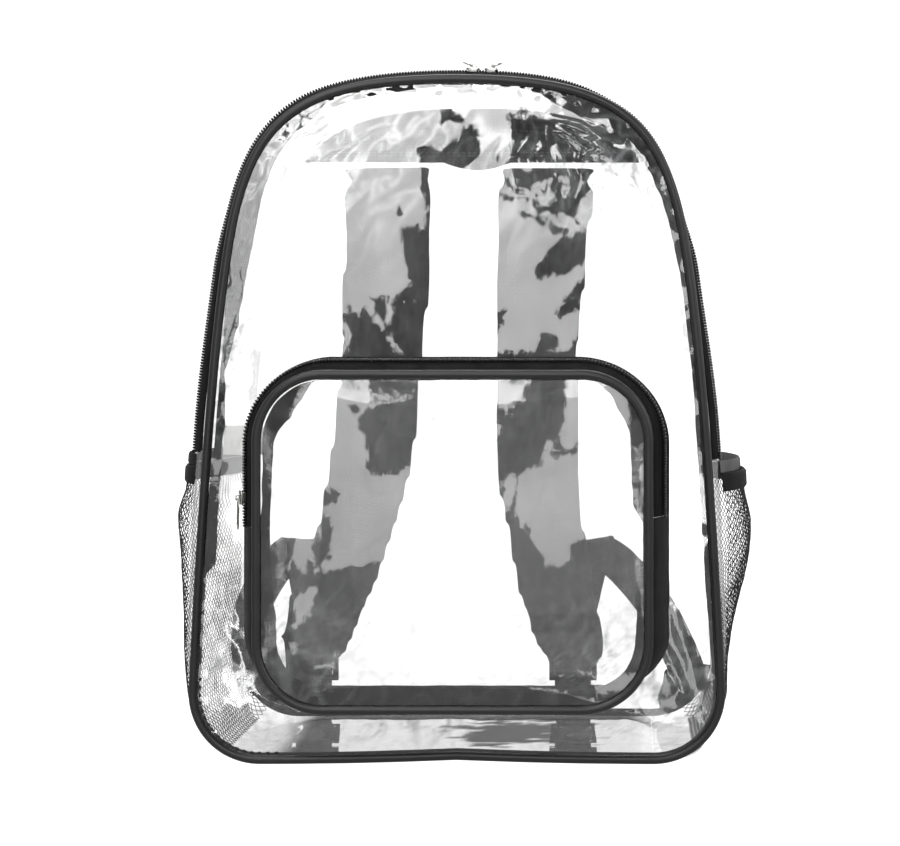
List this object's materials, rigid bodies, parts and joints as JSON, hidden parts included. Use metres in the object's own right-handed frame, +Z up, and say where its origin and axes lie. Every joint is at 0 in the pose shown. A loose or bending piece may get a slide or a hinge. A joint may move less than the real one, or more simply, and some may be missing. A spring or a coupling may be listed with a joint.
{
  "type": "clear backpack",
  "caption": "Clear vinyl day backpack with black piping, arched zip, zipped front pocket, net side pockets, padded shoulder straps and a stitched fabric band at the top of the back",
  "frame": {"origin": "on the floor under the middle of the floor panel, midway between the front and back seams", "axes": "+X to the right as seen from the front, -Y to the front, +Z up"},
  "size_m": [0.3555, 0.2118, 0.4325],
  "materials": {
    "clear_vinyl": "clear glossy vinyl sheet",
    "black_piping": "satin black vinyl piping",
    "zip_tape": "black woven zip tape",
    "zip_coil": "black nylon coil",
    "nickel": "bright nickel plate",
    "black_nylon": "plain woven black nylon",
    "strap_fabric": "black woven polyester over foam",
    "webbing": "ribbed black webbing",
    "black_plastic": "moulded black plastic",
    "net": "open knitted black net",
    "white_label": "white woven label, bare"
  },
  "bodies": {
    "root": {"front_panel": "clear_vinyl", "back_panel": "clear_vinyl", "upper_gusset": "clear_vinyl", "side_panel_left": "clear_vinyl", "side_panel_right": "clear_vinyl", "bottom_panel": "clear_vinyl", "pocket_panel": "clear_vinyl", "main_tape_front": "zip_tape", "main_tape_rear": "zip_tape", "pocket_tape_front": "zip_tape", "pocket_tape_rear": "zip_tape", "front_seam": "zip_tape", "main_coil": "zip_coil", "pocket_coil": "zip_coil", "main_slider_left": "nickel", "main_slider_right": "nickel", "main_pull_left": "nickel", "main_pull_right": "nickel", "pocket_slider": "nickel", "pocket_pull": "nickel", "main_piping": "black_piping", "pocket_piping": "black_piping", "back_bottom_binding": "black_nylon", "pocket_gusset": "black_nylon", "pocket_seam": "black_nylon", "top_band": "black_nylon", "corner_tab_left": "black_nylon", "corner_tab_right": "black_nylon", "mesh_hem_left": "black_nylon", "mesh_hem_right": "black_nylon", "zip_end_tape_left": "black_nylon", "zip_end_tape_right": "black_nylon", "strap_left": "strap_fabric", "strap_right": "strap_fabric", "haul_loop": "webbing", "webbing_left": "webbing", "webbing_right": "webbing", "lock_loop_left": "webbing", "lock_loop_right": "webbing", "ladder_lock_left": "black_plastic", "ladder_lock_right": "black_plastic", "mesh_pocket_left": "net", "mesh_pocket_right": "net", "care_label": "white_label"}
  },
  "joints": []
}
